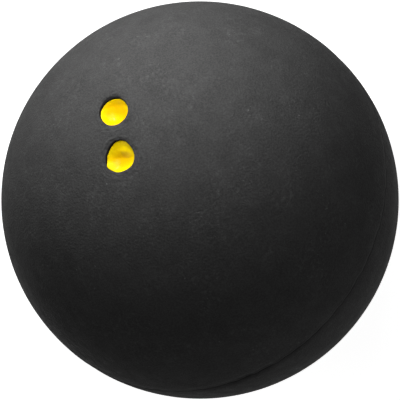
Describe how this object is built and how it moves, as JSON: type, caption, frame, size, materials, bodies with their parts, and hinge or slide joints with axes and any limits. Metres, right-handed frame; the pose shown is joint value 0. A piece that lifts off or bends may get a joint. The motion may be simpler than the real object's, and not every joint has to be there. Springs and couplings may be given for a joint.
{
  "type": "squash ball",
  "caption": "Hollow matt black rubber ball of bonded half shells with a fine seam and small sunk yellow paint dots, for squash.",
  "frame": {"origin": "centre of the ball", "axes": "+Z square to the seam plane, out through the pole between the dots; +X along the line of the dots; the seam lies in the XY plane"},
  "size_m": [0.04, 0.04, 0.04],
  "materials": {
    "rubber": "buffed matt",
    "adhesive": "satin",
    "dot_paint": "glossy"
  },
  "bodies": {
    "root": {"upper_half_shell": "rubber", "lower_half_shell": "rubber", "seam_bond": "adhesive", "yellow_dot_left": "dot_paint", "yellow_dot_right": "dot_paint"}
  },
  "joints": []
}
